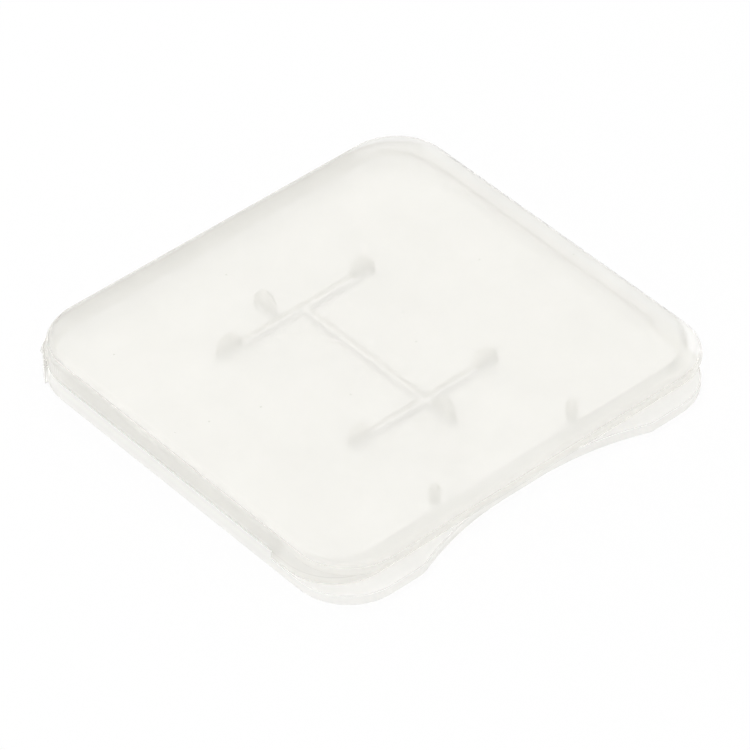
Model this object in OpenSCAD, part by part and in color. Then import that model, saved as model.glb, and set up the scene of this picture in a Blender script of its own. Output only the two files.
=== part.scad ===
// A thin moulded case for one small memory card: a base and a lid joined by a bending web along the back.
// Millimetres. X runs along the hinge, Y from the front edge (-) to the hinge (+), Z is up.
// The origin is at the middle of the case's outer box, on the table.

/* [Case] */
// Width along the hinge
case_w = 38.1; // [32:0.1:50]
// Depth from the front edge to the plain back face
case_d = 36.4; // [34:0.1:50]
// Height when shut
case_h = 3.7; // [3.5:0.1:6]
// Plan radius of the four corners
corner_r = 4.7; // [3:0.1:7]

/* [Base] */
// Thickness of the base plate
plate_t = 0.9; // [0.6:0.1:1.1]
// Height of the base, up to where the lid's side walls begin
base_h = 1.64; // [1.4:0.02:1.74]
// Thickness of the base walls
base_wall_t = 1.25; // [0.8:0.05:2]

/* [Finger scoop] */
// How far the scoop reaches in from the front edge
scoop_depth = 1.9; // [0.8:0.1:3]
// Half width of the straight stretch in the scoop's middle
scoop_flat = 1.5; // [0.5:0.1:4]
// Radius of the scoop's two slopes
scoop_r = 26; // [12:1:30]
// Radius that rounds off the scoop's two ends
scoop_end_r = 1.5; // [0.5:0.1:2]

/* [Lid] */
// Thickness of the lid plate
lid_t = 0.8; // [0.6:0.05:1]
// Radius along the lid's top edge
edge_r = 0.7; // [0.2:0.05:0.75]
// Thickness of the lid walls
skirt_t = 0.7; // [0.5:0.05:1]
// How far the lid plate reaches past the lid's front wall, as a finger grip
flange = 1.5; // [0.6:0.1:2.5]
// Distance from the front edge back to the seam between the lid's deep front wall and the base's side walls
seam_in = 7.75; // [7.3:0.05:12]

/* [Card nest] */
// Width of the card that the nest holds
card_w = 11; // [9:0.5:20]
// Length of the card
card_l = 15; // [12:0.5:22]
// Side play of the card
card_play_w = 0.1; // [0.05:0.05:0.5]
// Lengthwise play of the card
card_play_l = 0.6; // [0.1:0.05:1]
// How much narrower the card is at its front end, all on its left
card_step = 0.5; // [0:0.1:1]
// Sideways shift of the nest from the middle of the case
nest_x = -0.55; // [-3:0.05:3]
// Shift of the nest towards the hinge
nest_y = 0.88; // [-1:0.02:2]

/* [Ribs] */
// Height of the ribs above the base plate
rib_h = 0.7; // [0.3:0.1:0.8]
// Width of the ribs
rib_w = 0.7; // [0.4:0.1:1]
// Distance between the back rib and the front rib
rib_pitch = 13.8; // [8:0.1:15]
// How far the back rib lies inside the card's back end
rib_inset = 0.82; // [0.6:0.02:3]
// Place of the cross rib, sideways from the middle of the nest
cross_x = 0.65; // [-2:0.05:2]
// Place of the lone tooth behind the back rib, sideways from the middle of the nest
lone_x = -1.45; // [-4:0.05:4]

/* [Teeth] */
// Width of a tooth
tooth_w = 2.1; // [1.2:0.1:2.4]
// Width of the narrow tooth at the nest's stepped corner
narrow_tooth_w = 1.6; // [1:0.1:2]
// Height of the lid's underside above the teeth's tops
tooth_gap = 0.1; // [0.05:0.05:0.3]

/* [Latch posts] */
// Diameter of a post
post_d = 0.85; // [0.5:0.05:1.4]
// Distance between the two posts
post_pitch = 13.5; // [8:0.1:20]
// Distance of the posts from the front edge
post_in = 3.9; // [3.6:0.1:6]

/* [Hinge] */
// How far the hinge lands stand out from the back face
land_out = 0.25; // [0.1:0.05:0.4]
// Length of the lands along the corner, forwards from the back face
land_wrap = 2.55; // [1:0.05:3.5]
// Height of the lid's hinge land
lid_land_h = 0.6; // [0.5:0.05:0.9]
// Thickness of the bending web
web_t = 0.2; // [0.1:0.05:0.3]
// How far the web's loop stands out from the back face
web_out = 0.6; // [0.5:0.05:1]
// Length of the thin fin at each end of the web, sideways along the corner
fin_len = 3.5; // [1:0.1:3.9]
// Thickness of the fin
fin_t = 0.2; // [0.1:0.05:0.4]

/* [Clearances] */
// Gap where the lid's walls come down on the base's walls
part_gap = 0.06; // [0.04:0.01:0.1]
// Gap where the lid's front wall comes down on the base plate
lip_gap = 0.08; // [0.04:0.01:0.2]
// Gap at the seam between the lid's front wall and the base's side walls
seam_gap = 0.1; // [0.05:0.01:0.2]
// Gap between a post's top and the lid plate
post_gap = 0.05; // [0.03:0.01:0.2]

/* [Hidden] */
$fn = 64;

// More than any clearance, so that a cut goes right through
over = 1;

// Levels
lid_under = case_h - lid_t;
skirt_z = base_h + part_gap;
lip_z = plate_t + lip_gap;
rib_top = plate_t + rib_h;
tooth_top = lid_under - tooth_gap;
fold_z = case_h / 2;

// Places along Y
back_y = (case_d - web_out) / 2;
front_y = back_y - case_d;
back_corner_y = back_y - corner_r;
front_corner_y = front_y + corner_r;
seam_y = front_y + seam_in;
skirt_front_y = front_y + flange;
land_y = back_y + land_out;
web_y = back_y + web_out;

// Places along X
side_x = case_w / 2;
corner_x = side_x - corner_r;

// The nest: the card's four limits, and the ribs under it
nest_left = nest_x - (card_w + card_play_w) / 2;
nest_right = nest_x + (card_w + card_play_w) / 2;
nest_back = nest_y + (card_l + card_play_l) / 2;
nest_front = nest_y - (card_l + card_play_l) / 2;
rib_back_y = nest_back - rib_inset;
rib_front_y = rib_back_y - rib_pitch;
step_left = nest_left + card_step;
rib_cross_x = nest_x + cross_x;
lone_tooth_x = nest_x + lone_x;

// The web is half a ring, and its feet stand on the faces of the two lands
web_r = fold_z - base_h + web_t + part_gap / 2;
web_axis_y = web_y - web_r;

// A plan outline with round corners between y0 and y1, reaching from -half_w to half_w
module rounded(half_w, y0, y1, r) {
    translate([-half_w, y0 + r]) square([2 * half_w, y1 - y0 - 2 * r]);
    translate([r - half_w, y0]) square([2 * (half_w - r), y1 - y0]);
    for (side = [-1, 1])
        for (end = [y0 + r, y1 - r])
            translate([side * (half_w - r), end]) circle(r);
}

// The part of a plan outline between two places along Y
module between_y(y0, y1) {
    intersection() {
        children();
        translate([-case_w, y0]) square([2 * case_w, y1 - y0]);
    }
}

// A plan shape raised from z0 to z1
module raise(z0, z1) {
    translate([0, 0, z0]) linear_extrude(z1 - z0) children();
}

// The scoop's outline, cut out of the base plate's front edge: a flat middle, two round slopes, and a
// small round at each end where the slope meets the front edge
module scoop() {
    bottom_y = front_y + scoop_depth;
    slope_y = bottom_y - scoop_r;
    end_reach = sqrt(pow(scoop_r + scoop_end_r, 2) - pow(front_y + scoop_end_r - slope_y, 2));
    end_x = scoop_flat + end_reach;
    touch = scoop_r / (scoop_r + scoop_end_r);
    touch_x = scoop_flat + end_reach * touch;
    touch_y = slope_y + (front_y + scoop_end_r - slope_y) * touch;
    translate([-scoop_flat, front_y - over]) square([2 * scoop_flat, scoop_depth + over]);
    for (side = [0, 1]) mirror([side, 0]) {
        intersection() {
            translate([scoop_flat, slope_y]) circle(scoop_r, $fn = 180);
            translate([0, front_y - over]) square([touch_x, scoop_depth + 2 * over]);
        }
        difference() {
            polygon([[touch_x, front_y - over], [end_x, front_y - over], [end_x, front_y],
                [end_x, front_y + scoop_end_r], [touch_x, touch_y]]);
            translate([end_x, front_y + scoop_end_r]) circle(scoop_end_r);
        }
    }
}

// A tooth's face: straight sides and a round top, from z0 up to the teeth's common height
module tooth_face(w, z0) {
    translate([-w / 2, z0]) square([w, tooth_top - w / 2 - z0]);
    intersection() {
        translate([0, tooth_top - w / 2]) circle(w / 2);
        translate([-w / 2, z0]) square([w, tooth_top - z0]);
    }
}

// A tooth that stands across X, on a rib along X
module tooth_along_x(x, y, w, z0) {
    translate([x, y + rib_w / 2, 0]) rotate([90, 0, 0]) linear_extrude(rib_w) tooth_face(w, z0);
}

// A tooth that stands across Y, on a rib along Y
module tooth_along_y(x, y, w, z0) {
    translate([x - rib_w / 2, y, 0]) rotate([90, 0, 90]) linear_extrude(rib_w) tooth_face(w, z0);
}

// The section of the lid plate's edge: reach is its length out to the rounded edge
module edge_section(reach) {
    translate([0, lid_under]) square([reach, lid_t - edge_r]);
    translate([0, lid_under]) square([reach - edge_r, lid_t]);
    intersection() {
        translate([reach - edge_r, case_h - edge_r]) circle(edge_r);
        translate([0, lid_under]) square([reach, lid_t]);
    }
}

module base_plate() {
    color([0.95, 0.95, 0.92]) raise(0, plate_t) difference() {
        rounded(side_x, front_y, back_y, corner_r);
        scoop();
    }
}

// One side wall of the base, from the seam back to where the corner begins
module base_side_wall(side) {
    inner = side_x - base_wall_t;
    color([0.93, 0.94, 0.9]) raise(plate_t, base_h)
        translate([side > 0 ? inner : -side_x, seam_y + seam_gap / 2])
            square([base_wall_t, back_corner_y - seam_y - seam_gap / 2]);
}

module base_wall_left() { base_side_wall(-1); }
module base_wall_right() { base_side_wall(1); }

// The outline of a hinge land: a band that stands out round the back and part of the corners
module land_outline(out) {
    difference() {
        between_y(back_y - land_wrap, back_y + over)
            rounded(side_x + out, front_y - out, back_y + out, corner_r + out);
        rounded(side_x, front_y, back_y, corner_r);
    }
}

// The two fins that the web's ends leave on the corners, between the land and their own outline
module fin_outline() {
    difference() {
        intersection() {
            rounded(side_x + 2 * land_out, front_y - 2 * land_out, back_y + 2 * land_out, corner_r + 2 * land_out);
            for (side = [0, 1]) mirror([side, 0])
                translate([corner_x, back_corner_y]) square([fin_len, 2 * corner_r]);
        }
        rounded(side_x + land_out, front_y - land_out, back_y + land_out, corner_r + land_out);
    }
}

module base_wall_back() {
    color([0.93, 0.94, 0.9]) {
        raise(plate_t, base_h) difference() {
            between_y(back_corner_y, back_y + over) rounded(side_x, front_y, back_y, corner_r);
            rounded(side_x - base_wall_t, front_y, back_y - base_wall_t, corner_r - base_wall_t);
        }
        raise(0, base_h) land_outline(land_out);
        raise(base_h - fin_t, base_h) fin_outline();
    }
}

// A rib along X between two places
module rib_along_x(x0, x1, y) {
    color([0.92, 0.92, 0.89])
        translate([x0, y - rib_w / 2, plate_t]) cube([x1 - x0, rib_w, rib_h]);
}

module rib_back() { rib_along_x(nest_left - tooth_w, nest_right + tooth_w, rib_back_y); }
module rib_front() { rib_along_x(step_left - narrow_tooth_w, nest_right + tooth_w, rib_front_y); }

// The cross rib runs from the back rib past the front rib to the card's front end
module rib_cross() {
    y0 = nest_front - tooth_w;
    y1 = rib_front_y - rib_w / 2;
    y2 = rib_front_y + rib_w / 2;
    y3 = rib_back_y - rib_w / 2;
    color([0.92, 0.92, 0.89]) translate([rib_cross_x - rib_w / 2, 0, plate_t]) {
        translate([0, y0]) cube([rib_w, y1 - y0, rib_h]);
        translate([0, y2]) cube([rib_w, y3 - y2, rib_h]);
    }
}

module tooth_back_left() {
    color([0.9, 0.9, 0.87]) tooth_along_x(nest_left - tooth_w / 2, rib_back_y, tooth_w, rib_top);
}

module tooth_back_right() {
    color([0.9, 0.9, 0.87]) tooth_along_x(nest_right + tooth_w / 2, rib_back_y, tooth_w, rib_top);
}

module tooth_front_left() {
    color([0.9, 0.9, 0.87])
        tooth_along_x(step_left - narrow_tooth_w / 2, rib_front_y, narrow_tooth_w, rib_top);
}

module tooth_front_right() {
    color([0.9, 0.9, 0.87]) tooth_along_x(nest_right + tooth_w / 2, rib_front_y, tooth_w, rib_top);
}

module tooth_end_front() {
    color([0.9, 0.9, 0.87]) tooth_along_y(rib_cross_x, nest_front - tooth_w / 2, tooth_w, rib_top);
}

module tooth_end_back() {
    color([0.9, 0.9, 0.87]) tooth_along_y(lone_tooth_x, nest_back + tooth_w / 2, tooth_w, plate_t);
}

// A round post on the base plate, just short of the lid plate
module latch_post(side) {
    color([0.9, 0.9, 0.87]) translate([side * post_pitch / 2, front_y + post_in, plate_t])
        cylinder(h = lid_under - post_gap - plate_t, d = post_d);
}

module latch_post_left() { latch_post(-1); }
module latch_post_right() { latch_post(1); }

// The lid plate: a slab whose top edge is rounded all round, put together from strips and corners
module lid_plate() {
    color([0.96, 0.96, 0.94]) {
        for (side = [0, 1]) mirror([side, 0, 0]) {
            translate([0, back_corner_y, 0]) rotate([90, 0, 0])
                linear_extrude(back_corner_y - front_corner_y) edge_section(side_x);
            translate([0, back_corner_y, 0]) rotate([90, 0, 90])
                linear_extrude(corner_x) edge_section(corner_r);
            translate([corner_x, front_corner_y, 0]) rotate([90, 0, -90])
                linear_extrude(corner_x) edge_section(corner_r);
            translate([corner_x, back_corner_y, 0]) rotate_extrude(angle = 90) edge_section(corner_r);
            translate([corner_x, front_corner_y, 0]) rotate([0, 0, -90])
                rotate_extrude(angle = 90) edge_section(corner_r);
        }
    }
}

// One side wall of the lid, above the base's side wall
module lid_side_wall(side) {
    color([0.94, 0.94, 0.91]) raise(skirt_z, lid_under)
        translate([side > 0 ? side_x - skirt_t : -side_x, seam_y - seam_gap / 2])
            square([skirt_t, back_corner_y - seam_y + seam_gap / 2]);
}

module lid_wall_left() { lid_side_wall(-1); }
module lid_wall_right() { lid_side_wall(1); }

// The deep front wall: it goes round both front corners to the seam, and comes down to the base plate
module lid_wall_front() {
    color([0.94, 0.94, 0.91]) raise(lip_z, lid_under)
        between_y(skirt_front_y - over, seam_y - seam_gap / 2) difference() {
            rounded(side_x, skirt_front_y, back_y, corner_r);
            rounded(side_x - skirt_t, skirt_front_y + skirt_t, back_y, corner_r - skirt_t);
        }
}

module lid_wall_back() {
    color([0.94, 0.94, 0.91]) {
        raise(skirt_z, lid_under) difference() {
            between_y(back_corner_y, back_y + over) rounded(side_x, front_y, back_y, corner_r);
            rounded(side_x - skirt_t, front_y, back_y - skirt_t, corner_r - skirt_t);
        }
        raise(skirt_z, skirt_z + lid_land_h) land_outline(land_out);
    }
}

// The bending web, shut: half a ring along the straight back, from the base's land to the lid's
module hinge_web() {
    color([0.92, 0.93, 0.88]) translate([-corner_x, 0, 0]) rotate([90, 0, 90]) linear_extrude(2 * corner_x)
        difference() {
            translate([web_axis_y, fold_z]) circle(web_r);
            translate([web_axis_y, fold_z]) circle(web_r - web_t);
            translate([web_axis_y - web_r - over, 0]) square([land_y - web_axis_y + web_r + over, case_h]);
        }
}

base_plate();
base_wall_left();
base_wall_right();
base_wall_back();
rib_back();
rib_front();
rib_cross();
tooth_back_left();
tooth_back_right();
tooth_front_left();
tooth_front_right();
tooth_end_front();
tooth_end_back();
latch_post_left();
latch_post_right();
lid_plate();
lid_wall_left();
lid_wall_right();
lid_wall_front();
lid_wall_back();
hinge_web();
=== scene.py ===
# %% [markdown]
# # A milky clamshell case for one small memory card
#
# The real case is one shot of soft natural plastic: a base, a lid, and a thin web along the back that
# bends. The plastic is cloudy but lets light through, so what shows is mostly what lies inside and behind
# it. That decides how the case is built here: each half is one closed skin with nothing hidden in its
# walls, because a see-through solid that is made of touching blocks would show every joint between them.

# %% Load the frame
import math

import bmesh
import bpy
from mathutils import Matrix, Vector


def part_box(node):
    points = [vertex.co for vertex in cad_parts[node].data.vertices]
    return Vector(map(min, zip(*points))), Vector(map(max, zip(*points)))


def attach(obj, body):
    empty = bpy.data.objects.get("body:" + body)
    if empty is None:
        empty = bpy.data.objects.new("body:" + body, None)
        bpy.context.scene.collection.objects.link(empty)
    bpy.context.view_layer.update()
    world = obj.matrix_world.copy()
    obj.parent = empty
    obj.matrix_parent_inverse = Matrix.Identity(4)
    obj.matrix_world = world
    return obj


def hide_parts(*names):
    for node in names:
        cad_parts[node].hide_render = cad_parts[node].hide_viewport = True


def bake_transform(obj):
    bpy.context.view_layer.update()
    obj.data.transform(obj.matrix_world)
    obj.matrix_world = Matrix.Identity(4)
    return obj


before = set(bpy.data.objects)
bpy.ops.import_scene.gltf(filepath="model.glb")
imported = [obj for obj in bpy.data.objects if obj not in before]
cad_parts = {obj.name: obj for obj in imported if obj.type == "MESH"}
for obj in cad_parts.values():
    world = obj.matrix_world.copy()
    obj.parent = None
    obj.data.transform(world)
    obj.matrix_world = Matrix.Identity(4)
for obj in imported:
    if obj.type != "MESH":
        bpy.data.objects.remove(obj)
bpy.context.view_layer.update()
MM = 0.001


def in_mm(corners):
    """Corners in millimetres, short enough to print."""
    return [tuple(round(value / MM, 3) for value in corner) for corner in corners]


# %% [markdown]
# ## Sizes
#
# The frame already knows where every wall, rib, tooth and post stands, so places are read from its boxes
# and never typed again. A box can't tell a radius, or how thick a wall is where it turns a corner, so such
# sizes are named, each in the cell that first needs it.

# %% Places and the sizes that all pieces share
corner_r = 4.7 * MM        # plan radius of the case's corners
rim_r = 0.1 * MM           # the small radius that a mould leaves on an edge
sink = 0.3 * MM            # how deep a part of the skin starts inside its neighbour

plate_lo, plate_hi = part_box("base_plate")
side_x = plate_hi.x
front_y, back_y = plate_lo.y, plate_hi.y
print("half width %.2f mm, front %.2f, back %.2f" % (side_x / MM, front_y / MM, back_y / MM))

# %% [markdown]
# ## Arcs
#
# Nearly every form here is a flat outline raised into a slab. An outline is a list of points that runs
# anticlockwise, and its round stretches come from one arc function, so all corners share their steps and
# walls that stand flush stay flush. The case is the same on its left and right, so half an outline is
# enough.

# %% Arcs and their mirror
ARC_STEPS = 28             # steps round a quarter corner


def arc(cx, cy, r, start, end, steps=ARC_STEPS):
    """Points on a circle from start to end, in degrees."""
    angles = [math.radians(start + (end - start) * i / steps) for i in range(steps + 1)]
    return [(cx + r * math.cos(a), cy + r * math.sin(a)) for a in angles]


def mirrored(points):
    """The same points on the other side of the middle, in the order that keeps an outline running."""
    return [(-x, y) for x, y in reversed(points)]


print("a corner has", len(arc(0, 0, corner_r, 0, 90)), "points")

# %% [markdown]
# ## The base plate's outline
#
# A finger scoop in the front edge gives the thumb a hold on the lid. Each half of it is a short straight, a
# long slope of one radius, and a small radius that eases the slope into the front edge. The slope's end is
# worked out from the two circles that touch there, so the line stays smooth at any depth.

# %% Outline with the finger scoop
scoop_flat = 1.5 * MM      # half of the scoop's straight middle
scoop_r = 26 * MM          # radius of the scoop's slopes
scoop_depth = 1.9 * MM     # reach of the scoop into the base
scoop_end_r = 1.5 * MM     # radius at the scoop's two ends
SLOPE_STEPS = 24
END_STEPS = 6


def scoop_half():
    """The right half of the finger scoop, from its middle out to the straight front edge."""
    bottom = front_y + scoop_depth
    slope_y = bottom - scoop_r
    end_y = front_y + scoop_end_r
    across = math.sqrt((scoop_r + scoop_end_r) ** 2 - (end_y - slope_y) ** 2)
    turn = math.degrees(math.atan2(end_y - slope_y, across))
    slope = arc(scoop_flat, slope_y, scoop_r, 90, turn, SLOPE_STEPS)
    end = arc(scoop_flat + across, end_y, scoop_end_r, turn + 180, 270, END_STEPS)
    return slope + end[1:]


def plate_outline():
    """The base plate: a rounded square with the scoop in its front edge."""
    x, y0, y1 = side_x - corner_r, front_y + corner_r, back_y - corner_r
    right = scoop_half() + arc(x, y0, corner_r, -90, 0) + arc(x, y1, corner_r, 0, 90)
    return right + mirrored(right)


print("base plate outline:", len(plate_outline()), "points")

# %% [markdown]
# ## A wall's outline
#
# Both halves have walls that run along one side, round two corners and some way along the next two sides.
# Such a wall is a U in plan. One function draws it for the back, where the legs point forwards, and for the
# front, where they point backwards.

# %% Outline of a wall
wall_lo, wall_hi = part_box("base_wall_right")
wall_t = wall_hi.x - wall_lo.x
back_turn = back_y - corner_r


def u_wall(end_y, turn_y, thick):
    """A wall round the case's back or front: two legs, two corners and the straight between them.
    turn_y is where the corners' middles lie, and the legs end at end_y."""
    way = 1 if turn_y > end_y else -1
    x = side_x - corner_r
    outer = [(side_x, end_y)] + arc(x, turn_y, corner_r, 0, 90 * way)
    inner = [(side_x - thick, end_y)] + arc(x, turn_y, corner_r - thick, 0, 90 * way)
    loop = outer + mirrored(outer) + list(reversed(inner + mirrored(inner)))
    return loop if way > 0 else list(reversed(loop))


wall_points = len(u_wall(wall_lo.y, back_turn, wall_t))
print("base wall: %.2f mm thick, %d points in its outline" % (wall_t / MM, wall_points))

# %% [markdown]
# ## Slabs with moulded edges
#
# A mould never leaves a knife edge. A Bevel modifier could soften the finished skin, but it stumbles over
# the slivers that joining leaves behind. So each slab gets its soft rims before it is joined: ring after
# ring of the outline is stacked, and near the top and bottom the rings draw in along a quarter circle.

# %% Raising an outline into a slab
SHARPEST = 0.4             # keeps the inset of a sharp corner from running away
RIM_STEPS = 3              # steps round a small rim


def inset(outline, depth):
    """The outline drawn in by depth, each point along the middle of its two edges."""
    count = len(outline)
    result = []
    for i, point in enumerate(outline):
        before, after = Vector(outline[i - 1]), Vector(outline[(i + 1) % count])
        here = Vector(point)
        a, b = (here - before).normalized(), (after - here).normalized()
        middle = Vector((a.y + b.y, -a.x - b.x)).normalized()
        spread = max(middle.dot(Vector((a.y, -a.x))), SHARPEST)
        result.append(tuple(here - middle * depth / spread))
    return result


def rings(z0, z1, rim0, rim1, steps):
    """Pairs of inset and height from the bottom rim to the top rim."""
    quarter = [math.radians(90 * i / steps) for i in range(steps + 1)]
    low, high = [(0, z0)], [(0, z1)]
    if rim0:
        low = [(rim0 * (1 - math.sin(t)), z0 + rim0 * (1 - math.cos(t))) for t in quarter]
    if rim1:
        high = [(rim1 * (1 - math.cos(t)), z1 - rim1 * (1 - math.sin(t))) for t in quarter]
    return low + high


def slab(name, outline, z0, z1, rim0=rim_r, rim1=rim_r, steps=RIM_STEPS):
    """A closed slab from z0 to z1 over the outline, with its rims rounded."""
    mesh = bmesh.new()
    stack = []
    for depth, z in rings(z0, z1, rim0, rim1, steps):
        points = inset(outline, depth) if depth else outline
        stack.append([mesh.verts.new((x, y, z)) for x, y in points])
    count = len(outline)
    for low, high in zip(stack, stack[1:]):
        for i in range(count):
            j = (i + 1) % count
            mesh.faces.new((low[i], low[j], high[j], high[i]))
    mesh.faces.new(list(reversed(stack[0])))
    mesh.faces.new(stack[-1])
    data = bpy.data.meshes.new(name)
    mesh.to_mesh(data)
    mesh.free()
    piece = bpy.data.objects.new(name, data)
    bpy.context.collection.objects.link(piece)
    return piece


# %% [markdown]
# ## Trees that grow pieces
#
# The teeth, the posts, the ribs, the lid plate and the web all follow a rule, so Geometry Nodes draw them
# from their sizes. Every tree here begins alike, with named inputs for its sizes and its material, and ends
# alike: Realize Instances makes real faces and Set Material gives them their plastic. Helpers write that
# beginning and end once.

# %% How every tree begins and ends


def node(tree, kind, settings=None, **values):
    """A node of one kind, with its settings and the plain values of its inputs."""
    made = tree.nodes.new(kind)
    for key, value in (settings or {}).items():
        setattr(made, key, value)
    for key, value in values.items():
        made.inputs[key.replace("_", " ")].default_value = value
    return made


def math_node(tree, operation, a, b=0.0):
    """a and b, each a socket or a number, put through one sum."""
    made = node(tree, "ShaderNodeMath", {"operation": operation})
    for socket, value in zip(made.inputs, (a, b)):
        if isinstance(value, (int, float)):
            socket.default_value = value
        else:
            tree.links.new(value, socket)
    return made.outputs["Value"]


def new_tree(name, *sizes):
    """A tree and its input sockets: a start mesh, a number for each named size, and a material."""
    tree = bpy.data.node_groups.new(name, "GeometryNodeTree")
    kinds = {"Geometry": "NodeSocketGeometry", **dict.fromkeys(sizes, "NodeSocketFloat")}
    kinds["Material"] = "NodeSocketMaterial"
    for socket, kind in kinds.items():
        tree.interface.new_socket(name=socket, in_out="INPUT", socket_type=kind)
    tree.interface.new_socket(name="Geometry", in_out="OUTPUT", socket_type="NodeSocketGeometry")
    return tree, node(tree, "NodeGroupInput").outputs


def ended(tree, inputs, form):
    """The tree with its end: real faces from the form, in the material that the tree is given."""
    realize = node(tree, "GeometryNodeRealizeInstances")
    finish = node(tree, "GeometryNodeSetMaterial")
    output = node(tree, "NodeGroupOutput")
    tree.links.new(form, realize.inputs["Geometry"])
    tree.links.new(realize.outputs["Geometry"], finish.inputs["Geometry"])
    tree.links.new(inputs["Material"], finish.inputs["Material"])
    tree.links.new(finish.outputs["Geometry"], output.inputs["Geometry"])
    print(tree.name, "has", len(tree.nodes), "nodes")
    return tree


# %% [markdown]
# ## Moves that the trees share
#
# Most of the forms come from a few moves: draw a rounded rectangle, fill it, carry a section along it, lift
# the result, turn its faces round, and weld what meets. Written once as small functions, they let each tree
# below read as a list of moves.

# %% Moves for the trees
WELD = 0.001 * MM          # corners nearer than this are made one


def rounded_rectangle(tree, width, length, radius, steps):
    """The outline of a rectangle with rounded corners."""
    plan = node(tree, "GeometryNodeCurvePrimitiveQuadrilateral")
    corners = node(tree, "GeometryNodeFilletCurve", {"mode": "POLY"}, Count=steps)
    tree.links.new(width, plan.inputs["Width"])
    tree.links.new(length, plan.inputs["Height"])
    tree.links.new(plan.outputs["Curve"], corners.inputs["Curve"])
    tree.links.new(radius, corners.inputs["Radius"])
    return corners.outputs["Curve"]


def filled(tree, outline):
    """The flat face inside an outline."""
    fill = node(tree, "GeometryNodeFillCurve", {"mode": "NGONS"})
    tree.links.new(outline, fill.inputs["Curve"])
    return fill.outputs["Mesh"]


def swept(tree, path, section, caps=False):
    """The section carried along the path, with its own up kept upright."""
    upright = node(tree, "GeometryNodeSetCurveNormal", {"mode": "Z_UP"})
    sweep = node(tree, "GeometryNodeCurveToMesh", Fill_Caps=caps)
    tree.links.new(path, upright.inputs["Curve"])
    tree.links.new(upright.outputs["Curve"], sweep.inputs["Curve"])
    tree.links.new(section, sweep.inputs["Profile Curve"])
    return sweep.outputs["Mesh"]


def lifted(tree, form, height, **turn):
    """The form, turned if asked, and then raised by the height."""
    lift = node(tree, "ShaderNodeCombineXYZ")
    place = node(tree, "GeometryNodeTransform", **turn)
    tree.links.new(height, lift.inputs["Z"])
    tree.links.new(form, place.inputs["Geometry"])
    tree.links.new(lift.outputs["Vector"], place.inputs["Translation"])
    return place.outputs["Geometry"]


def flipped(tree, form):
    """The form with its faces looking the other way."""
    turn = node(tree, "GeometryNodeFlipFaces")
    tree.links.new(form, turn.inputs["Mesh"])
    return turn.outputs["Mesh"]


def welded(tree, forms, distance=WELD):
    """The forms as one mesh, with the corners that meet made one."""
    both = node(tree, "GeometryNodeJoinGeometry")
    for form in forms:
        tree.links.new(form, both.inputs["Geometry"])
    closed = node(tree, "GeometryNodeMergeByDistance", Distance=distance)
    tree.links.new(both.outputs["Geometry"], closed.inputs["Geometry"])
    return closed.outputs["Geometry"]


# %% [markdown]
# ## Growing a piece
#
# A tree is only a recipe until a modifier runs it. The modifier's inputs are set by their identifiers
# before the piece is first worked out, then the result is kept as a plain mesh and the modifier is taken
# off, so that nothing changes later. A form that stands on a spot gets a mesh of loose points, and a bar
# gets one of loose edges.

# %% From a tree to a plain mesh


def settled(piece):
    """The piece with its modifiers worked out and gone."""
    data = bpy.data.meshes.new_from_object(piece.evaluated_get(bpy.context.evaluated_depsgraph_get()))
    piece.modifiers.clear()
    piece.data = data
    data.name = piece.name
    return piece


def grown(name, tree, start, **values):
    """The plain mesh piece that a tree grows from a mesh of points or edges."""
    piece = bpy.data.objects.new(name, start)
    bpy.context.collection.objects.link(piece)
    modifier = piece.modifiers.new(name, "NODES")
    modifier.node_group = tree
    sockets = {item.name: item.identifier for item in tree.interface.items_tree if item.in_out == "INPUT"}
    for key, value in values.items():
        modifier[sockets[key]] = value
    return settled(piece)


def spots(name, places):
    """A mesh of loose points, each with its own turn."""
    data = bpy.data.meshes.new(name)
    data.from_pydata([place[:3] for place in places], [], [])
    turn = data.attributes.new("turn", "FLOAT", "POINT")
    for i, place in enumerate(places):
        turn.data[i].value = place[3]
    return data


def one_spot(name):
    """A single loose point on the origin, for a piece that is there only once."""
    return spots(name, [(0, 0, 0, 0)])


# %% [markdown]
# ## A form on every spot
#
# Six round-topped teeth hold the card, and they differ only in place, turn and, for one, width. Modelling
# one and copying it by hand would hide that rule, so a tree stands the same form on each point that it is
# given, turned by the point's own turn. The two latch posts near the front edge use such a tree too, with
# another drawing.

# %% A tree that stands a form on each point
SOFT_EDGE = 0.9            # size of a pushed face after its soft edge, as a share of the face


def standing_tree(name, draw, *sizes):
    """A tree that stands what draw makes on each point, turned by the point's own turn."""
    tree, inputs = new_tree(name, *sizes)
    form = draw(tree, inputs)
    points = node(tree, "GeometryNodeMeshToPoints")
    turn = node(tree, "GeometryNodeInputNamedAttribute", {"data_type": "FLOAT"}, Name="turn")
    spin = node(tree, "ShaderNodeCombineXYZ")
    stand = node(tree, "GeometryNodeInstanceOnPoints")
    tree.links.new(inputs["Geometry"], points.inputs["Mesh"])
    tree.links.new(turn.outputs["Attribute"], spin.inputs["Z"])
    tree.links.new(points.outputs["Points"], stand.inputs["Points"])
    tree.links.new(form, stand.inputs["Instance"])
    tree.links.new(spin.outputs["Vector"], stand.inputs["Rotation"])
    return ended(tree, inputs, stand.outputs["Instances"])


def pushed(tree, face, depth, step):
    """A filled face pushed out by depth, then by a step more while it draws in."""
    body = node(tree, "GeometryNodeExtrudeMesh", Individual=False)
    tree.links.new(face, body.inputs["Mesh"])
    tree.links.new(depth, body.inputs["Offset Scale"])
    lip = node(tree, "GeometryNodeExtrudeMesh", Individual=False)
    tree.links.new(body.outputs["Mesh"], lip.inputs["Mesh"])
    tree.links.new(body.outputs["Top"], lip.inputs["Selection"])
    tree.links.new(step, lip.inputs["Offset Scale"])
    soft = node(tree, "GeometryNodeScaleElements", Scale=SOFT_EDGE)
    tree.links.new(lip.outputs["Mesh"], soft.inputs["Geometry"])
    tree.links.new(lip.outputs["Top"], soft.inputs["Selection"])
    return soft.outputs["Geometry"]


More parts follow.
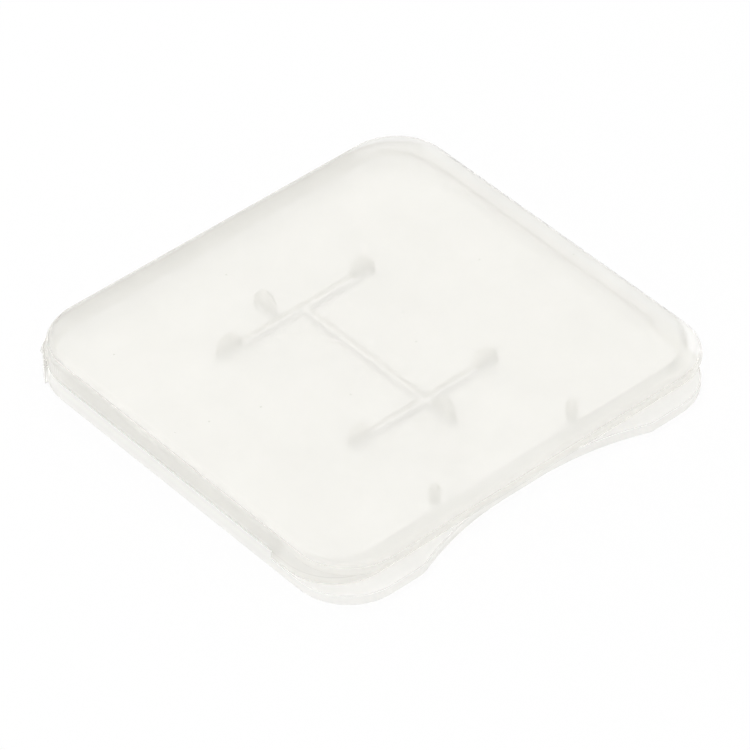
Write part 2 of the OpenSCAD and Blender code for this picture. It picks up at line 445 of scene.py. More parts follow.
# %% [markdown]
# ## Drawing a tooth
#
# A tooth is a thin tongue with a half-round top. A rectangle gets its two upper corners rounded to half its
# width, is filled, and is pushed out to half the tooth's thickness, with a small step in at the face so
# that the edges catch the light. The other half is the same shape mirrored, and the two are welded along
# the middle.

# %% A tooth
ROUND_TOP = 0.499          # just under half of the width, so that the two rounded corners don't meet
TOP_STEPS = 14


def draw_tooth(tree, inputs):
    """A tooth that stands across X on the origin."""
    place = node(tree, "GeometryNodeInputPosition")
    split = node(tree, "ShaderNodeSeparateXYZ")
    tree.links.new(place.outputs["Position"], split.inputs["Vector"])
    upper = math_node(tree, "GREATER_THAN", split.outputs["Y"], 0.0)
    half_width = math_node(tree, "MULTIPLY", inputs["Width"], ROUND_TOP)
    radius = math_node(tree, "MULTIPLY", upper, half_width)
    face = filled(tree, rounded_rectangle(tree, inputs["Width"], inputs["Height"], radius, TOP_STEPS))
    half_depth = math_node(tree, "MULTIPLY", inputs["Thickness"], 0.5)
    flat_depth = math_node(tree, "SUBTRACT", half_depth, inputs["Step"])
    half = pushed(tree, face, flat_depth, inputs["Step"])
    mirror = node(tree, "GeometryNodeTransform", Scale=(1, 1, -1))
    tree.links.new(half, mirror.inputs["Geometry"])
    lying = welded(tree, [half, flipped(tree, mirror.outputs["Geometry"])])
    half_height = math_node(tree, "MULTIPLY", inputs["Height"], 0.5)
    return lifted(tree, lying, half_height, Rotation=(math.radians(90), 0, 0))


tooth_tree = standing_tree("standing_tooth", draw_tooth, "Width", "Thickness", "Height", "Step")

# %% [markdown]
# ## Standing the teeth
#
# Each tooth's place is the middle of its box in the frame, and it is turned a quarter where the box is
# longer in Y. It starts a little below the plate's top face, so that it can be joined to the plate without
# a seam.

# %% Teeth
tooth_w = 2.1 * MM
narrow_w = 1.6 * MM
tooth_t = 0.68 * MM
tooth_step = 0.08 * MM     # width of a tooth's soft edge
milky = bpy.data.materials.new("milky_plastic")
foot_z = plate_hi.z - sink
wide, narrow = [], []
for name in ("tooth_back_left", "tooth_back_right", "tooth_front_left", "tooth_front_right",
             "tooth_end_front", "tooth_end_back"):
    lo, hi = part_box(name)
    size = hi - lo
    quarter_turn = math.pi / 2 if size.y > size.x else 0.0
    place = ((lo.x + hi.x) / 2, (lo.y + hi.y) / 2, foot_z, quarter_turn)
    is_narrow = max(size.x, size.y) < (tooth_w + narrow_w) / 2
    (narrow if is_narrow else wide).append(place)
tooth_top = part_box("tooth_back_left")[1].z
tooth_sizes = {"Height": tooth_top - foot_z, "Thickness": tooth_t, "Step": tooth_step, "Material": milky}
teeth = grown("teeth", tooth_tree, spots("teeth", wide), Width=tooth_w, **tooth_sizes)
narrow_spots = spots("narrow_tooth", narrow)
narrow_tooth = grown("narrow_tooth", tooth_tree, narrow_spots, Width=narrow_w, **tooth_sizes)
print("teeth:", len(wide), "wide and", len(narrow), "narrow,", len(teeth.data.polygons), "faces")

# %% [markdown]
# ## The latch posts
#
# Two short round pins stand near the front edge, and the lid comes down on them. They use the same standing
# tree as the teeth, with another drawing: a disc pushed up to the post's height and then drawn in to a soft
# tip.

# %% Posts
POST_SIDES = 40
post_step = 0.06 * MM      # height of a post's soft tip


def draw_post(tree, inputs):
    """A round pin that stands on the origin, with a soft tip."""
    disc = node(tree, "GeometryNodeMeshCircle", {"fill_type": "NGON"}, Vertices=POST_SIDES)
    tree.links.new(math_node(tree, "MULTIPLY", inputs["Width"], 0.5), disc.inputs["Radius"])
    shaft = math_node(tree, "SUBTRACT", inputs["Height"], inputs["Step"])
    pin = pushed(tree, disc.outputs["Mesh"], shaft, inputs["Step"])
    return welded(tree, [pin, flipped(tree, disc.outputs["Mesh"])])


post_tree = standing_tree("standing_post", draw_post, "Width", "Height", "Step")
post_places = []
for name in ("latch_post_left", "latch_post_right"):
    lo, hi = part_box(name)
    post_places.append(((lo.x + hi.x) / 2, (lo.y + hi.y) / 2, foot_z, 0.0))
    post_d, post_top = hi.x - lo.x, hi.z
posts = grown("posts", post_tree, spots("posts", post_places), Width=post_d, Height=post_top - foot_z,
              Step=post_step, Material=milky)
print("posts: %.2f mm across, %.2f mm tall" % (post_d / MM, (post_top - plate_hi.z) / MM))

# %% [markdown]
# ## The ribs
#
# The card lies on three low bars. A bar is a section carried along a path, which is what Curve to Mesh
# does. The paths are edges between the bars' ends, so one tree makes all three. The section is a small
# rectangle with rounded corners. Its two lower corners end up inside the plate, so only the two upper ones
# show.

# %% A tree for a bar
SHOULDER_STEPS = 4


def rib_sweep(name):
    """A tree that carries a round-shouldered bar section along each edge of its input."""
    tree, inputs = new_tree(name, "Width", "Height", "Shoulder")
    section = rounded_rectangle(tree, inputs["Width"], inputs["Height"], inputs["Shoulder"], SHOULDER_STEPS)
    path = node(tree, "GeometryNodeMeshToCurve")
    tree.links.new(inputs["Geometry"], path.inputs["Mesh"])
    bar = swept(tree, path.outputs["Curve"], section, caps=True)
    half_height = math_node(tree, "MULTIPLY", inputs["Height"], 0.5)
    return ended(tree, inputs, lifted(tree, bar, half_height))


rib_tree = rib_sweep("rib_sweep")

# %% [markdown]
# ## Laying the ribs
#
# Each bar runs along the longer side of its box in the frame. The cross rib also reaches a little into the
# back rib, so that the two join without a seam.

# %% Ribs
rib_w = 0.7 * MM
rib_shoulder = 0.08 * MM


def path_edge(name, ends):
    """A mesh of one loose edge between two ends."""
    data = bpy.data.meshes.new(name)
    data.from_pydata(ends, [(0, 1)], [])
    return data


ribs = []
for name in ("rib_back", "rib_front", "rib_cross"):
    lo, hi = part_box(name)
    if hi.x - lo.x > hi.y - lo.y:
        y = (lo.y + hi.y) / 2
        ends = ((lo.x, y, foot_z), (hi.x, y, foot_z))
    else:
        x = (lo.x + hi.x) / 2
        ends = ((x, lo.y, foot_z), (x, hi.y + sink, foot_z))
    ribs.append(grown(name + "_bar", rib_tree, path_edge(name, ends), Width=rib_w, Height=hi.z - foot_z,
                      Shoulder=rib_shoulder, Material=milky))
    print(name, "is %.1f mm long" % ((Vector(ends[1]) - Vector(ends[0])).length / MM))

# %% [markdown]
# ## Joining the parts of a skin
#
# Union keeps only the outside of pieces that overlap. The Manifold solver is quick and always leaves a
# closed skin, as long as each piece that goes in is closed, which a helper checks first. The shading is
# then smoothed over shallow turns only, and weighted normals keep the wide faces flat.

# %% One closed skin from many
SHARP_FROM = 42            # degrees: a turn sharper than this stays a visible edge


def open_edges(piece):
    """How many edges of a piece don't have exactly two faces."""
    mesh = bmesh.new()
    mesh.from_mesh(piece.data)
    count = sum(1 for edge in mesh.edges if len(edge.link_faces) != 2)
    mesh.free()
    return count


def triangles(piece):
    """How many triangles a piece has."""
    piece.data.calc_loop_triangles()
    return len(piece.data.loop_triangles)


def joined(name, pieces):
    """One skin round all the pieces, which are used up."""
    for piece in pieces:
        if open_edges(piece):
            print("open piece:", piece.name, open_edges(piece))
    whole = pieces[0]
    for part in pieces[1:]:
        union = whole.modifiers.new(part.name, "BOOLEAN")
        union.operation = "UNION"
        union.solver = "MANIFOLD"
        union.object = part
        settled(whole)
        bpy.data.objects.remove(part)
    whole.name = name
    whole.data.name = name
    return whole


def smooth_skin(piece):
    """Smooth shading that keeps wide faces flat and stops at real edges."""
    piece.data.shade_smooth()
    piece.data.set_sharp_from_angle(angle=math.radians(SHARP_FROM))
    weight = piece.modifiers.new("weight", "WEIGHTED_NORMAL")
    weight.weight = 100
    weight.keep_sharp = True
    settled(piece)


# %% [markdown]
# ## The hinge lands and fins
#
# Along the back of each half a thicker land carries the bending web, and it wraps part of the way round
# both corners. At each end of the base's land a paper-thin fin is left where the web was trimmed. Both are
# bands between two arcs round the same corner, so they are slabs like the rest, and they start inside the
# wall that they stand on.

# %% Bands round the back corners
land_wrap = 2.55 * MM      # reach of the hinge lands along the corner, forwards from the back face
land_out = 0.25 * MM       # how far the lands stand out
land_rim = 0.06 * MM       # radius of the lands' edges
fin_len = 3.5 * MM         # reach of the fins, sideways along the corner
fin_t = 0.2 * MM           # thickness of the fins
fin_root = 0.15 * MM       # how deep a fin starts inside the land
fin_rim = 0.04 * MM        # radius of the fins' edges
FIN_STEPS = 2              # steps round such an edge
hair = 0.005 * MM          # keeps two faces from lying at exactly the same height
base_top = wall_hi.z


def land(name, z0, z1):
    """The band that stands out round the back and part of the corners."""
    end_y = back_y - land_wrap
    middle_y = back_y - corner_r
    rise = end_y - middle_y
    x = side_x - corner_r
    outer_r = corner_r + land_out
    inner_r = corner_r - sink
    outer = arc(x, middle_y, outer_r, math.degrees(math.asin(rise / outer_r)), 90)
    inner = arc(x, middle_y, inner_r, math.degrees(math.asin(rise / inner_r)), 90)
    outline = outer + mirrored(outer) + list(reversed(inner + mirrored(inner)))
    return slab(name, outline, z0, z1, land_rim, land_rim)


def fin(name, side):
    """The trimmed end of the web on one corner, just under the base's top."""
    x, middle_y = side_x - corner_r, back_y - corner_r
    outer_r = corner_r + 2 * land_out
    inner_r = corner_r + land_out - fin_root
    outer = arc(x, middle_y, outer_r, math.degrees(math.acos(fin_len / outer_r)), 90)
    inner = arc(x, middle_y, inner_r, math.degrees(math.acos(fin_len / inner_r)), 90)
    outline = outer + list(reversed(inner))
    if side < 0:
        outline = mirrored(outline)
    return slab(name, outline, base_top - fin_t, base_top - 2 * hair, fin_rim, fin_rim, FIN_STEPS)


print("the lands stand out %.2f mm and the fins %.2f mm" % (land_out / MM, 2 * land_out / MM))

# %% [markdown]
# ## The base
#
# The base plate lies flat with the scoop cut from its front edge. Low walls stand on three of its sides,
# and the land stands out along the back. The land's top lies a hair below the walls' top, because two faces
# at exactly the same height would leave slivers when they are joined.

# %% Base plate and walls
base = joined("base_shell", [
    slab("plate", plate_outline(), 0, plate_hi.z),
    slab("walls", u_wall(wall_lo.y, back_turn, wall_t), plate_hi.z - sink, base_top, 0),
    land("base_land", 0, base_top - hair),
    fin("fin_right", 1),
    fin("fin_left", -1),
    *ribs, teeth, narrow_tooth, posts])
smooth_skin(base)
base.data.materials.clear()
base.data.materials.append(milky)
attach(base, "base")
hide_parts("base_plate", "base_wall_left", "base_wall_right", "base_wall_back",
            "rib_back", "rib_front", "rib_cross", "tooth_back_left", "tooth_back_right",
            "tooth_front_left", "tooth_front_right", "tooth_end_front", "tooth_end_back",
            "latch_post_left", "latch_post_right")
print("base skin:", triangles(base), "triangles,", open_edges(base), "open edges")

# %% [markdown]
# ## The lid plate, with Geometry Nodes
#
# The lid's top face ends in a round edge of one radius that runs right round a rounded square. That is a
# rule: one section carried along one outline. So the tree draws the outline, drawn in as far as the edge is
# round, sweeps a quarter circle along it, and fills the flat faces above and below.

# %% A tree for the lid plate
EDGE_STEPS = 10            # steps round the upper edge
LID_WELD = 0.02 * MM       # the faces' and bands' corners nearer than this are made one


def lid_outline(tree, inputs, depth):
    """The plate's outline drawn in by depth."""
    twice = math_node(tree, "MULTIPLY", depth, 2.0)
    width = math_node(tree, "SUBTRACT", inputs["Width"], twice)
    length = math_node(tree, "SUBTRACT", inputs["Depth"], twice)
    radius = math_node(tree, "SUBTRACT", inputs["Corner"], depth)
    return rounded_rectangle(tree, width, length, radius, ARC_STEPS - 1)


def quarter_round(tree, inputs, radius, height, start, steps):
    """A quarter circle of that radius, carried along the outline that is drawn in by as much."""
    quarter = node(tree, "GeometryNodeCurveArc", {"mode": "RADIUS"}, Resolution=steps + 1,
                   Start_Angle=math.radians(start), Sweep_Angle=math.radians(90))
    tree.links.new(radius, quarter.inputs["Radius"])
    band = swept(tree, lid_outline(tree, inputs, radius), quarter.outputs["Curve"])
    return lifted(tree, band, height)


def lid_plate_tree(name):
    """A tree for a rounded square plate with a round upper edge and a small round at its lower one."""
    tree, inputs = new_tree(name, "Width", "Depth", "Thickness", "Corner", "Edge", "Rim")
    thickness, edge, rim = (inputs[key] for key in ("Thickness", "Edge", "Rim"))
    top = lifted(tree, filled(tree, lid_outline(tree, inputs, edge)), thickness)
    bottom = flipped(tree, filled(tree, lid_outline(tree, inputs, rim)))
    edge_height = math_node(tree, "SUBTRACT", thickness, edge)
    upper = quarter_round(tree, inputs, edge, edge_height, -90, EDGE_STEPS)
    lower = quarter_round(tree, inputs, rim, rim, 0, RIM_STEPS)
    return ended(tree, inputs, welded(tree, [top, bottom, upper, lower], LID_WELD))


lid_tree = lid_plate_tree("lid_plate")

# %% [markdown]
# ## Growing the lid plate
#
# The plate is as thick as its box in the frame, and the upper round takes most of that. What is left below
# it is the radius of the lower edge. The tree draws the plate round its own middle, so its corners are then
# moved to where the plate lies on the case, and the object itself stays at the origin.

# %% Lid plate
edge_r = 0.7 * MM          # radius of the lid's top edge
lid_lo, lid_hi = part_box("lid_plate")
lid_t = lid_hi.z - lid_lo.z
lid_plate = grown("lid_top", lid_tree, one_spot("lid_top"), Width=2 * side_x, Depth=back_y - front_y,
                  Thickness=lid_t, Corner=corner_r, Edge=edge_r, Rim=lid_t - edge_r, Material=milky)
for vertex in lid_plate.data.vertices:
    vertex.co += Vector((0, (front_y + back_y) / 2, lid_lo.z))
print("lid plate:", len(lid_plate.data.polygons), "faces,", open_edges(lid_plate), "open edges")
print(in_mm((lid_plate.bound_box[0], lid_plate.bound_box[6])))

# %% [markdown]
# ## The lid's walls
#
# The lid's deep front wall goes round both front corners and comes down to the base plate, set back from
# the edge so that the plate above it is a finger grip. Its side and back walls are low, and meet the base's
# walls half way up.

# %% Lid walls
skirt_t = 0.7 * MM         # thickness of the lid's walls
skirt_root = 0.1 * MM      # how deep the walls start inside the lid plate
lid_land_h = 0.6 * MM      # height of the lid's hinge land
front_lo, front_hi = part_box("lid_wall_front")
side_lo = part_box("lid_wall_right")[0]
wall_top = lid_lo.z + skirt_root
front_turn = front_lo.y + corner_r
lid = joined("lid_shell", [
    lid_plate,
    slab("lid_front", u_wall(front_hi.y, front_turn, skirt_t), front_lo.z, wall_top, rim_r, 0),
    slab("lid_back", u_wall(side_lo.y, back_turn, skirt_t), side_lo.z, wall_top, rim_r, 0),
    land("lid_land", side_lo.z + hair, side_lo.z + lid_land_h)])
smooth_skin(lid)
lid.data.materials.clear()
lid.data.materials.append(milky)
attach(lid, "lid")
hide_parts("lid_plate", "lid_wall_left", "lid_wall_right", "lid_wall_front", "lid_wall_back")
print("lid skin:", triangles(lid), "triangles,", open_edges(lid), "open edges")

# %% [markdown]
# ## The web that bends
#
# A thin strip of plastic is moulded flat and folds into most of half a ring when the case shuts. Here it is
# a sheet that carries the ring's inner line along the hinge, then thickened outwards. It has many points
# round its bend, so that it can follow the lid.

# %% A tree for the web
BEND_POINTS = 25
LENGTH_POINTS = 33


def web_tree(name):
    """A tree that carries an arc along a straight line and thickens it outwards."""
    tree, inputs = new_tree(name, "Length", "Radius", "Thickness", "Start", "Sweep")
    link = tree.links.new
    bend = node(tree, "GeometryNodeCurveArc", {"mode": "RADIUS"}, Resolution=BEND_POINTS)
    for size, socket in (("Radius", "Radius"), ("Start", "Start Angle"), ("Sweep", "Sweep Angle")):
        link(inputs[size], bend.inputs[socket])
    line = node(tree, "GeometryNodeCurvePrimitiveLine")
    for share, socket in ((-0.5, "Start"), (0.5, "End")):
        end = node(tree, "ShaderNodeCombineXYZ")
        link(math_node(tree, "MULTIPLY", inputs["Length"], share), end.inputs["Z"])
        link(end.outputs["Vector"], line.inputs[socket])
    cuts = node(tree, "GeometryNodeResampleCurve", Count=LENGTH_POINTS)
    link(line.outputs["Curve"], cuts.inputs["Curve"])
    sheet = node(tree, "GeometryNodeCurveToMesh")
    link(cuts.outputs["Curve"], sheet.inputs["Curve"])
    link(bend.outputs["Curve"], sheet.inputs["Profile Curve"])
    thick = node(tree, "GeometryNodeExtrudeMesh", Individual=False)
    link(sheet.outputs["Mesh"], thick.inputs["Mesh"])
    link(inputs["Thickness"], thick.inputs["Offset Scale"])
    inner = flipped(tree, sheet.outputs["Mesh"])
    return ended(tree, inputs, welded(tree, [thick.outputs["Mesh"], inner]))


strip_tree = web_tree("web_sweep")

# %% [markdown]
# ## Hanging the web on the hinge
#
# The web's two edges have to end just outside the lands, so the arc's start is worked out from where the
# lands' faces lie. The web has to bend again when the lid opens, so it has no parent of its own: the frame
# blends it from the base to the lid over the middle of its height.

# %% Hinge web
web_t = 0.2 * MM           # thickness of the web
web_r = 0.44 * MM          # outer radius of the fold
web_gap = 0.01 * MM        # how far outside the lands' faces the web's middle line ends
web_lo, web_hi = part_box("hinge_web")
fold_z = (web_lo.z + web_hi.z) / 2
web_axis_y = web_hi.y - web_r
foot_y = back_y + land_out + web_gap
foot_turn = math.degrees(math.asin((foot_y - web_axis_y) / (web_r - web_t / 2)))
web = grown("web", strip_tree, one_spot("web"), Length=web_hi.x - web_lo.x, Radius=web_r - web_t,
            Thickness=web_t, Start=math.radians(foot_turn - 90), Sweep=math.radians(180 - 2 * foot_turn),
            Material=milky)
for vertex in web.data.vertices:
    a, b, along = vertex.co
    vertex.co = Vector((along, web_axis_y + a, fold_z + b))
mesh = bmesh.new()
mesh.from_mesh(web.data)
bmesh.ops.recalc_face_normals(mesh, faces=mesh.faces)
mesh.to_mesh(web.data)
mesh.free()
smooth_skin(web)
web.name = "hinge_web_strip"
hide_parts("hinge_web")
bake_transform(web)
print("web:", triangles(web), "triangles,", open_edges(web), "open edges")
print(in_mm((web.bound_box[0], web.bound_box[6])))

# %% [markdown]
# ## Milky plastic
#
# Natural polypropylene scatters light inside itself, so it reads as white from far off and as frosted glass
# near by. Real scattering in so thin a wall would need a volume, which is slow and grainy. A Principled
# shader that lets most of the light through does as well here: its bending is set lower than the real
# plastic's, because scattered light also fills the dark lines that clear plastic would show at its edges. A
# little of the light comes back as a plain warm off-white, with faint clouds from the melt.

# %% Colour of the plastic
CLOUD_SCALE = 260.0        # clouds to a metre
milky.use_nodes = True
cloudy = milky.node_tree
wires = cloudy.links.new
plastic = cloudy.nodes["Principled BSDF"]
plastic.inputs["IOR"].default_value = 1.1
plastic.inputs["Transmission Weight"].default_value = 0.73
where = node(cloudy, "ShaderNodeTexCoord")
clouds = node(cloudy, "ShaderNodeTexNoise", Scale=CLOUD_SCALE, Detail=3.0, Roughness=0.55)
wires(where.outputs["Object"], clouds.inputs["Vector"])
tone = node(cloudy, "ShaderNodeValToRGB")
tone.color_ramp.elements[0].position = 0.3
tone.color_ramp.elements[0].color = (0.944, 0.939, 0.919, 1)
tone.color_ramp.elements[1].position = 0.7
tone.color_ramp.elements[1].color = (0.964, 0.959, 0.939, 1)
wires(clouds.outputs["Fac"], tone.inputs["Fac"])
print("clouds about %.0f mm wide" % (1000 / CLOUD_SCALE))

# %% [markdown]
# ## Dust, and painted shade at the parting line
#
# A case that is sold loose has specks of dust on it. The dust is the middle of each cell of a fine pattern.
# Where the lid's low walls meet the base's, a band at the height of the parting line is painted darker, as
# painted shade in the gap between them. It lies on the outer walls only, so the nest inside isn't darkened.

# %% Dust, and painted shade at the parting line
DUST_SCALE = 480.0         # dust cells to a metre
parting_shade_band = 0.05 * MM     # half of the painted shade's height
outer_reach = 16.4 * MM    # at the parting line's height, only the walls lie further out than this
PARTING_SHADE = 0.12               # how much darker the painted shade is


def calc(operation, a, b=0.0):
    """One sum in the plastic's tree, of sockets or numbers."""
    return math_node(cloudy, operation, a, b)


cells = node(cloudy, "ShaderNodeTexVoronoi", Scale=DUST_SCALE)
wires(where.outputs["Object"], cells.inputs["Vector"])
speck = node(cloudy, "ShaderNodeMapRange", From_Min=0.02, From_Max=0.036, To_Min=0.6, To_Max=1.0)
wires(cells.outputs["Distance"], speck.inputs["Value"])
spot = node(cloudy, "ShaderNodeSeparateXYZ")
wires(where.outputs["Object"], spot.inputs["Vector"])
reach = calc("MAXIMUM", calc("ABSOLUTE", spot.outputs["X"]), calc("ABSOLUTE", spot.outputs["Y"]))
parting_z = (base_top + side_lo.z) / 2
off_parting = calc("ABSOLUTE", calc("SUBTRACT", spot.outputs["Z"], parting_z))
at_parting = calc("LESS_THAN", off_parting, parting_shade_band)
# painted shade: a dark band on the outer walls at the parting line, where the gap between the halves lies
parting_shade = calc("MULTIPLY", at_parting, calc("GREATER_THAN", reach, outer_reach))
print("dust every %.1f mm or so, parting line at z = %.2f mm" % (1000 / DUST_SCALE, parting_z / MM))

# %% [markdown]
# ## Painted shade in the nest
#
# Low down where the ribs, teeth and posts stand on the plate, their steep sides are painted a little
# darker: painted shade for the shade that falls on those sides. How steep a face is comes from its
# normal: the normal of a level face points straight up or down, and that of a steep one lies nearly flat.

# %% Painted shade on the nest's steep sides
nest_reach = 15.5 * MM     # nearer to the middle of the case stand only the ribs, teeth and posts
NEST_SIDE_SHADE = 0.16               # how much darker the painted shade makes those sides
lie = node(cloudy, "ShaderNodeNewGeometry")
slopes = node(cloudy, "ShaderNodeSeparateXYZ")
wires(lie.outputs["Normal"], slopes.inputs["Vector"])
level = calc("ABSOLUTE", slopes.outputs["Z"])
steep = node(cloudy, "ShaderNodeMapRange", From_Min=0.5, From_Max=0.97, To_Min=1.0, To_Max=0.0)
wires(level, steep.inputs["Value"])
in_nest = calc("MULTIPLY", steep.outputs["Result"], calc("LESS_THAN", reach, nest_reach))
rib_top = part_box("rib_back")[1].z
low_down = calc("LESS_THAN", spot.outputs["Z"], rib_top)
# painted shade: the steep low sides of the ribs, teeth and posts are darkened in the colour
nest_side_shade = calc("MULTIPLY", calc("MULTIPLY", in_nest, low_down), NEST_SIDE_SHADE)
# the colour is darkened by both painted shades and by the dust specks
after_painted_shade = calc("SUBTRACT", calc("SUBTRACT", 1.0, calc("MULTIPLY", parting_shade, PARTING_SHADE)), nest_side_shade)
dust_and_painted_shade = node(cloudy, "ShaderNodeVectorMath", {"operation": "SCALE"})
wires(tone.outputs["Color"], dust_and_painted_shade.inputs[0])
wires(calc("MULTIPLY", speck.outputs["Result"], after_painted_shade), dust_and_painted_shade.inputs["Scale"])
wires(dust_and_painted_shade.outputs["Vector"], plastic.inputs["Base Color"])
print("dense below z = %.2f mm" % (rib_top / MM))

# %% [markdown]
# ## Polished faces and matt walls
#
# The mould's two flat faces are polished, so the card would show clearly through the lid. Its walls and
# rims are left matt, which blurs them. The surface's own direction tells the two apart: a face that looks
# straight up or down is polished, and one that is steep is matt, unless it belongs to the nest, whose small
# cavities are polished too. A very fine grain lies over everything.

# %% Finish of the plastic
POLISHED = 0.08            # roughness of a polished face
MATT = 0.32                # what a steep face adds to that
NEST_POLISH = 0.26         # what the nest's own sides take off again
outer_matt = calc("MULTIPLY", steep.outputs["Result"], MATT)
nest_polish = calc("MULTIPLY", in_nest, NEST_POLISH)
wires(calc("SUBTRACT", calc("ADD", outer_matt, POLISHED), nest_polish), plastic.inputs["Roughness"])
grain = node(cloudy, "ShaderNodeTexNoise", Scale=4200.0, Detail=2.0)
wires(where.outputs["Object"], grain.inputs["Vector"])
relief = node(cloudy, "ShaderNodeBump", Strength=0.05, Distance=0.02 * MM)
wires(grain.outputs["Fac"], relief.inputs["Height"])
wires(relief.outputs["Normal"], plastic.inputs["Normal"])
print("roughness: %.2f polished, %.2f matt" % (POLISHED, POLISHED + MATT))

# %% [markdown]
# ## Slanting faces
#
# Seen at a slant, light has a longer way to go through cloudy plastic, so a slanting face shows more of the
# milk and less of what lies behind it. Clear plastic would show a hard dark line at such an edge instead.
# So the glassy shader gives way to a veil, half off-white and half clear, as the face turns away.

# %% A veil over slanting faces
VEIL_FROM, VEIL_FULL = 0.55, 0.95
veil_colour = (0.975, 0.97, 0.945, 1)
slant = node(cloudy, "ShaderNodeLayerWeight", Blend=0.5)
turned_away = node(cloudy, "ShaderNodeMapRange", From_Min=VEIL_FROM, From_Max=VEIL_FULL)
wires(slant.outputs["Facing"], turned_away.inputs["Value"])
milk = node(cloudy, "ShaderNodeBsdfDiffuse", Color=veil_colour)
clear = node(cloudy, "ShaderNodeBsdfTransparent", Color=veil_colour)
veil = node(cloudy, "ShaderNodeMixShader", Fac=0.5)
wires(milk.outputs["BSDF"], veil.inputs[1])
wires(clear.outputs["BSDF"], veil.inputs[2])
veiled = node(cloudy, "ShaderNodeMixShader")
wires(turned_away.outputs["Result"], veiled.inputs["Fac"])
wires(plastic.outputs["BSDF"], veiled.inputs[1])
wires(veil.outputs["Shader"], veiled.inputs[2])
print("the veil sets in at %.2f of the slant and is full at %.2f" % (VEIL_FROM, VEIL_FULL))

# %% [markdown]
# ## Light that gets in
#
# A bending surface blocks the direct rays that a renderer sends to the lamps, so the inside of a clear case
# would stay dark and only grainy light would find its way in. In milky plastic the light simply soaks
# through. So for the rays that look for a lamp, and for those alone, the surface is a plain window that
# takes a little light away.

# %% A window for lamp light
window = node(cloudy, "ShaderNodeBsdfTransparent", Color=(0.87, 0.865, 0.85, 1))
rays = node(cloudy, "ShaderNodeLightPath")
soak = node(cloudy, "ShaderNodeMixShader")
wires(rays.outputs["Is Shadow Ray"], soak.inputs["Fac"])
wires(veiled.outputs["Shader"], soak.inputs[1])
wires(window.outputs["BSDF"], soak.inputs[2])
wires(soak.outputs["Shader"], cloudy.nodes["Material Output"].inputs["Surface"])
print("material nodes:", len(cloudy.nodes))

# %% [markdown]
# ## The floor
#
# The case was photographed on plain white. A sheet lies just under it, hardly lower than its underside, so
# that the two faces don't fight. Rays that come straight from the camera, off a gloss or through the
# plastic see the sheet mostly as an even white glow, so the see-through case takes its brightness from
# there, and the rest of the sheet is dull paper that keeps a little of the case's shadow. From below the
# sheet is clear, so that the underside shows.

# %% Floor
floor_half = 2.0           # metres from the middle to each side
floor_z = -0.04 * MM
FLOOR_GLOW = 0.9           # share of the glow in what those rays see


def seen(tree):
    """1 for rays from the camera, off a gloss or through plastic, and 0 for all others."""
    path = node(tree, "ShaderNodeLightPath").outputs
    straight = math_node(tree, "MAXIMUM", path["Is Camera Ray"], path["Is Glossy Ray"])
    return math_node(tree, "MAXIMUM", straight, path["Is Transmission Ray"])


corners = [(x * floor_half, y * floor_half, floor_z) for x, y in ((-1, -1), (1, -1), (1, 1), (-1, 1))]
floor_mesh = bpy.data.meshes.new("floor")
floor_mesh.from_pydata(corners, [], [(0, 1, 2, 3)])
floor = bpy.data.objects.new("floor", floor_mesh)
bpy.context.collection.objects.link(floor)
paper = bpy.data.materials.new("white_paper")
paper.use_nodes = True
floor.data.materials.append(paper)
paper_tree = paper.node_tree
lay = paper_tree.links.new
dull = paper_tree.nodes["Principled BSDF"]
dull.inputs["Base Color"].default_value = (0.95, 0.95, 0.95, 1)
dull.inputs["Roughness"].default_value = 0.9
dull.inputs["Specular IOR Level"].default_value = 0.0
glow = node(paper_tree, "ShaderNodeEmission", Color=(1, 1, 1, 1), Strength=1.0)
lit = node(paper_tree, "ShaderNodeMixShader")
lay(math_node(paper_tree, "MULTIPLY", seen(paper_tree), FLOOR_GLOW), lit.inputs["Fac"])
lay(dull.outputs["BSDF"], lit.inputs[1])
lay(glow.outputs["Emission"], lit.inputs[2])
sides = node(paper_tree, "ShaderNodeNewGeometry")
gone = node(paper_tree, "ShaderNodeBsdfTransparent")
one_sided = node(paper_tree, "ShaderNodeMixShader")
lay(sides.outputs["Backfacing"], one_sided.inputs["Fac"])
lay(lit.outputs["Shader"], one_sided.inputs[1])
lay(gone.outputs["BSDF"], one_sided.inputs[2])
lay(one_sided.outputs["Shader"], paper_tree.nodes["Material Output"].inputs["Surface"])
print("floor at z = %.2f mm" % (floor_z / MM))

# %% [markdown]
# ## The light all round
#
# A white studio lights the case from every side, which the world does. It is a little less than full white
# as a light, so that walls and ribs keep some shade, and full white where a ray sees it as a background.

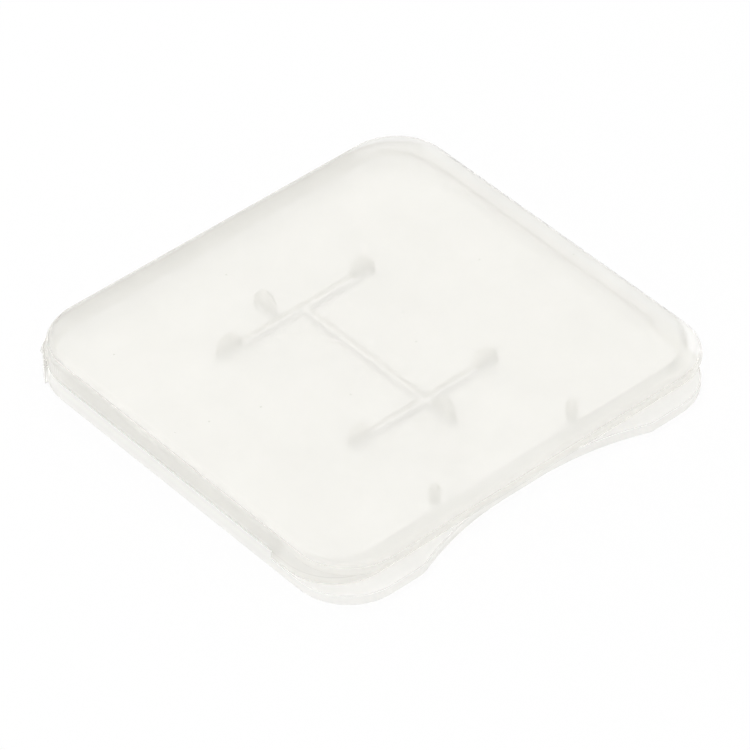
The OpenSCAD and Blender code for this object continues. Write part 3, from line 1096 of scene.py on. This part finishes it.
# %% World
ROUND_LIGHT = 0.83
world = bpy.data.worlds.new("studio")
bpy.context.scene.world = world
world.use_nodes = True
studio = world.node_tree
sky = studio.nodes["Background"]
sky.inputs["Color"].default_value = (1, 1, 1, 1)
sky.inputs["Strength"].default_value = ROUND_LIGHT
bright = node(studio, "ShaderNodeBackground", Color=(1, 1, 1, 1), Strength=1.0)
choose = node(studio, "ShaderNodeMixShader")
studio.links.new(seen(studio), choose.inputs["Fac"])
studio.links.new(sky.outputs["Background"], choose.inputs[1])
studio.links.new(bright.outputs["Background"], choose.inputs[2])
studio.links.new(choose.outputs["Shader"], studio.nodes["World Output"].inputs["Surface"])
print("light all round: %.2f" % ROUND_LIGHT)

# %% [markdown]
# ## The lamp
#
# One round lamp, high at the back left, gives the ribs and rims their soft side. It is wide for its
# distance, which keeps every shadow soft.

# %% Lamp
lamp_data = bpy.data.lights.new("softbox", "AREA")
lamp_data.shape = "DISK"
lamp_data.size = 0.6
lamp_data.energy = 1.85
lamp = bpy.data.objects.new("softbox", lamp_data)
bpy.context.collection.objects.link(lamp)
lamp.location = (-0.25, 0.3, 0.75)
lamp.rotation_mode = "QUATERNION"
lamp.rotation_quaternion = (-lamp.location).to_track_quat("-Z", "Y")
print("lamp %.2f m away" % lamp.location.length)

# %% [markdown]
# ## Camera
#
# The photograph was taken from far off with a long lens. The place and the lens come from the case's own
# corners and parallel edges in the picture.

# %% Camera
cam_data = bpy.data.cameras.new("camera")
cam_data.sensor_width = 36
cam_data.lens = 249.26
cam_data.clip_start = 0.01
cam_data.clip_end = 10
camera = bpy.data.objects.new("camera", cam_data)
bpy.context.collection.objects.link(camera)
target = Vector((0.000225, -0.000214, 0))
camera.location = (-0.191167, -0.215845, 0.259431)
camera.rotation_mode = "QUATERNION"
camera.rotation_quaternion = (target - camera.location).to_track_quat("-Z", "Y")
bpy.context.scene.camera = camera
bpy.context.scene.view_settings.view_transform = "Standard"
print("camera %.1f mm from the case" % ((target - camera.location).length / MM))
